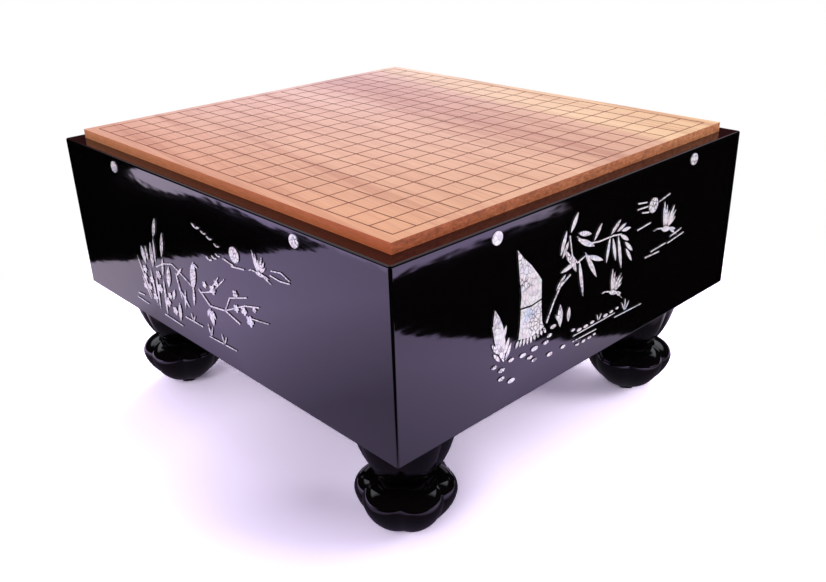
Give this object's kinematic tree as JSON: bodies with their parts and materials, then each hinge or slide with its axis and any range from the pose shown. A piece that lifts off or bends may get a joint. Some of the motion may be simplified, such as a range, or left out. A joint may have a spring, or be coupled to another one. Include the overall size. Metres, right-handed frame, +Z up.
{
  "type": "floor go board",
  "caption": "Floor-standing go board: raised wooden playing board with a lined grid, black lacquered case with pearl inlay, and carved lobed legs that turn in their sockets.",
  "frame": {"origin": "middle of the footprint, on the floor", "axes": "+Z up out of the playing surface, +Y the long way from the front player's side to the back player's, +X to the front player's right"},
  "size_m": [0.4244, 0.4574, 0.2686],
  "materials": {
    "board_wood": "oiled, straight grain",
    "grid_lacquer": "thin raised lacquer line",
    "black_lacquer": "polished black lacquer over wood",
    "inner_wood": "bare planed",
    "pearl": "polished mother-of-pearl",
    "brass": "plain turned"
  },
  "bodies": {
    "case": {"playing_board": "board_wood", "grid_lines": "grid_lacquer", "front_wall": "black_lacquer", "right_wall": "black_lacquer", "back_wall": "black_lacquer", "left_wall": "black_lacquer", "bottom_panel": "black_lacquer", "front_rail": "inner_wood", "right_rail": "inner_wood", "back_rail": "inner_wood", "left_rail": "inner_wood", "front_batten": "inner_wood", "back_batten": "inner_wood", "front_left_block": "inner_wood", "front_right_block": "inner_wood", "back_right_block": "inner_wood", "back_left_block": "inner_wood", "wall_screws": "brass", "screw_caps": "pearl", "front_moon": "pearl", "front_cranes": "pearl", "front_bamboo": "pearl", "front_stump": "pearl", "front_shoots": "pearl", "front_stream": "pearl", "back_moon": "pearl", "back_cranes": "pearl", "back_bamboo": "pearl", "back_stump": "pearl", "back_shoots": "pearl", "back_stream": "pearl", "right_moon": "pearl", "right_birds": "pearl", "right_reeds": "pearl", "right_plum": "pearl", "right_ground": "pearl", "left_moon": "pearl", "left_birds": "pearl", "left_reeds": "pearl", "left_plum": "pearl", "left_ground": "pearl"},
    "front_left_leg": {"front_left_leg": "black_lacquer"},
    "front_right_leg": {"front_right_leg": "black_lacquer"},
    "back_right_leg": {"back_right_leg": "black_lacquer"},
    "back_left_leg": {"back_left_leg": "black_lacquer"}
  },
  "joints": [
    {"name": "front_left_leg_turn", "type": "hinge", "parent": "case", "child": "front_left_leg", "pos_m": [-0.1525, -0.169, 0.12], "axis": [0, 0, 1], "continuous": true},
    {"name": "front_right_leg_turn", "type": "hinge", "parent": "case", "child": "front_right_leg", "pos_m": [0.1525, -0.169, 0.12], "axis": [0, 0, 1], "continuous": true},
    {"name": "back_right_leg_turn", "type": "hinge", "parent": "case", "child": "back_right_leg", "pos_m": [0.1525, 0.169, 0.12], "axis": [0, 0, 1], "continuous": true},
    {"name": "back_left_leg_turn", "type": "hinge", "parent": "case", "child": "back_left_leg", "pos_m": [-0.1525, 0.169, 0.12], "axis": [0, 0, 1], "continuous": true}
  ]
}
